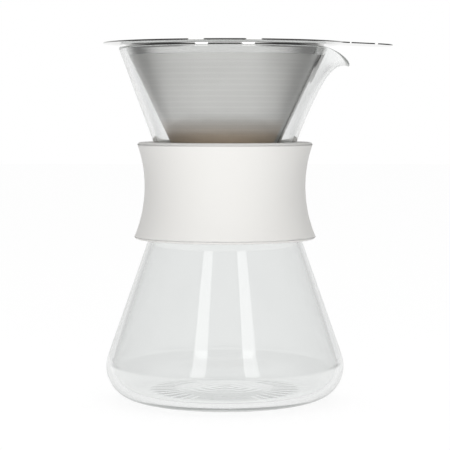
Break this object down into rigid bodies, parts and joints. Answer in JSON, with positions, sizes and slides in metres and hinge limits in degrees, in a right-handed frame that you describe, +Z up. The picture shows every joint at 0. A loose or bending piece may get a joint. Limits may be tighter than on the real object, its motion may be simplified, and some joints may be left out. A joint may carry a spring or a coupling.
{
  "type": "pour-over coffee maker",
  "caption": "Hourglass glass coffee maker with a pouring lip, a thick silicone band round its waist and a lift-out steel cone filter hung from a rim plate with a tab.",
  "frame": {"origin": "middle of the flat foot, on the surface that the coffee maker stands on", "axes": "+Z up along the axis of the glass, +X out over the pouring lip and the filter's tab, +Y away from a viewer who has the lip on their right"},
  "size_m": [0.1375, 0.116, 0.1709],
  "materials": {
    "clear_glass": "clear and smooth",
    "silicone": "matte, warm off-white",
    "polished_steel": "polished",
    "perforated_steel": "satin, with fine rows of holes",
    "fine_mesh": "woven fine mesh"
  },
  "bodies": {
    "carafe": {"glass_body": "clear_glass", "grip_band": "silicone"},
    "filter": {"filter_rim_plate": "polished_steel", "filter_outer_cone": "perforated_steel", "filter_inner_mesh": "fine_mesh", "filter_tip_cup": "polished_steel"}
  },
  "joints": [
    {"name": "filter_lift", "type": "slide", "parent": "carafe", "child": "filter", "axis": [0, 0, 1], "range_m": [0, 0.095]}
  ]
}
